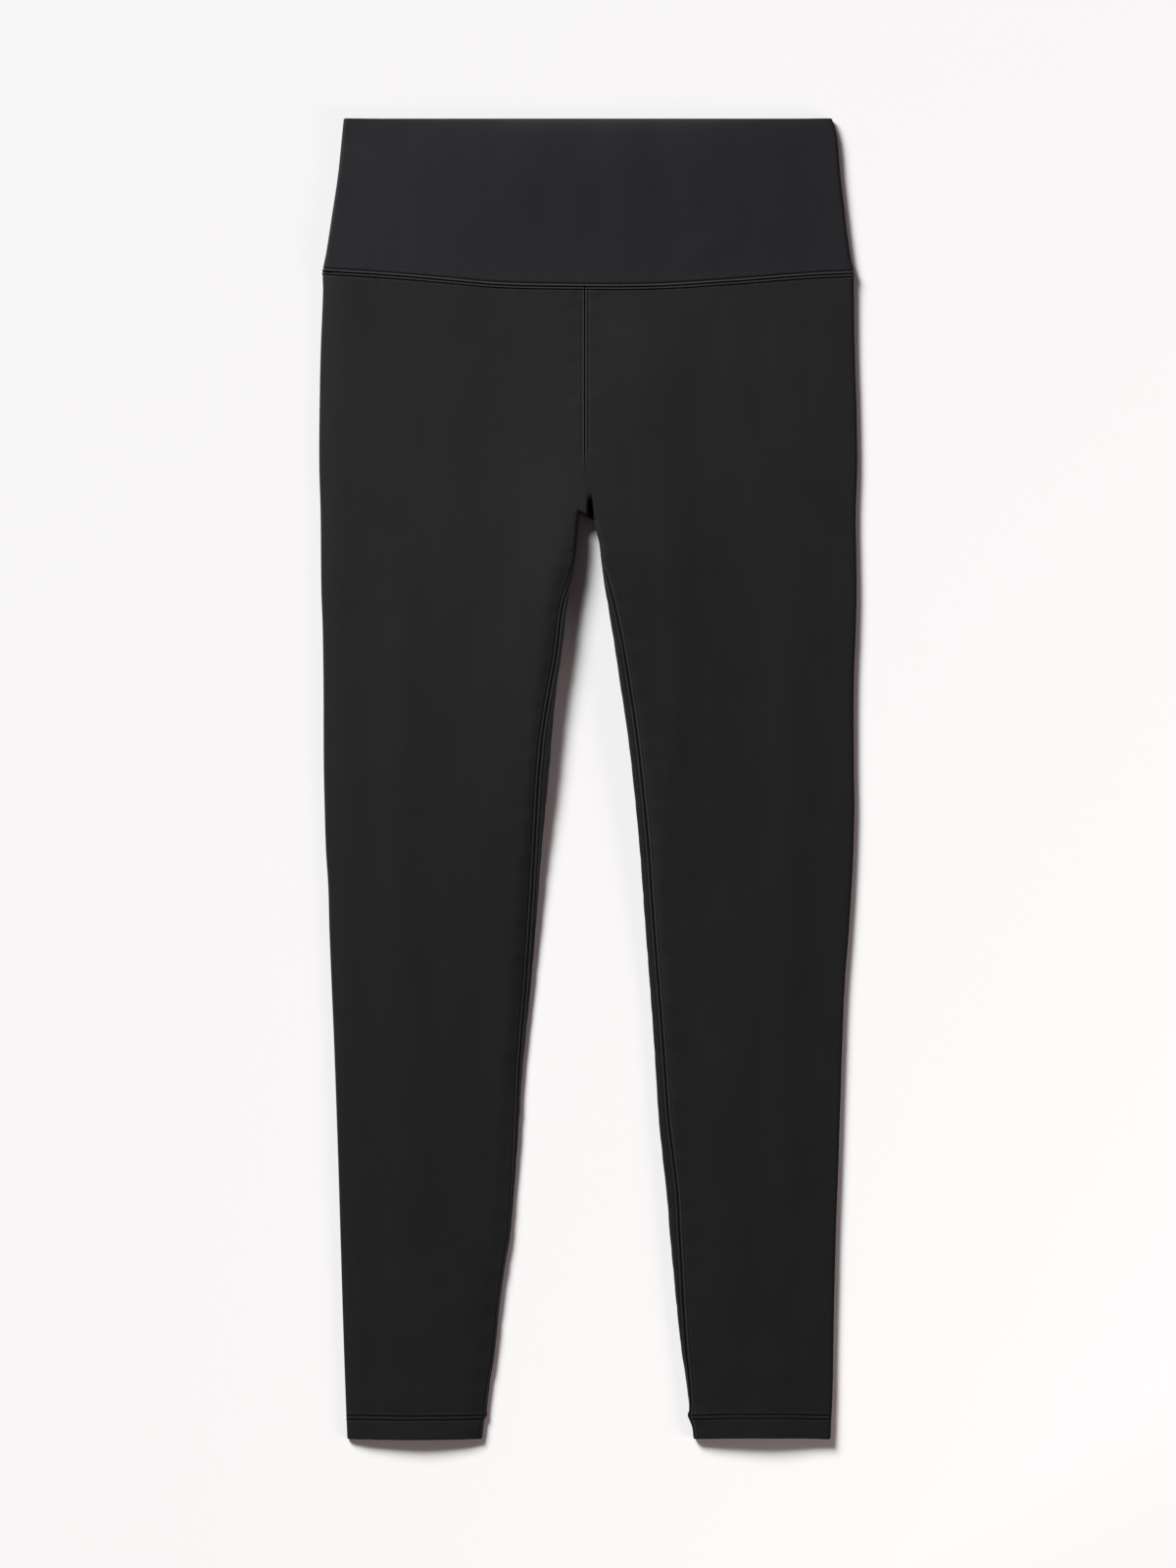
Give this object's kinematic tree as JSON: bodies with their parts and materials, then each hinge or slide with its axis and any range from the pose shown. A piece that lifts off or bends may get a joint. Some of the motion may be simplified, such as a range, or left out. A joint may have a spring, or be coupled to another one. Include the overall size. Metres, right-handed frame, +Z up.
{
  "type": "leggings",
  "caption": "High-waisted full-length leggings with a wide folded waistband, laid out flat on their back with the front up.",
  "frame": {"origin": "on the surface the garment lies on, under the middle of its outline", "axes": "+X towards the wearer's left side, +Y towards the waistband, +Z up, out of the garment's front"},
  "size_m": [0.3702, 0.9116, 0.013],
  "materials": {
    "knit_waistband": "matt fine stretch knit, double layer",
    "knit_legs": "matt fine stretch knit",
    "seam_thread": "slightly glossy coverstitch thread"
  },
  "bodies": {
    "root": {"waistband": "knit_waistband", "leg_left": "knit_legs", "leg_right": "knit_legs", "gusset": "knit_legs"}
  },
  "joints": []
}
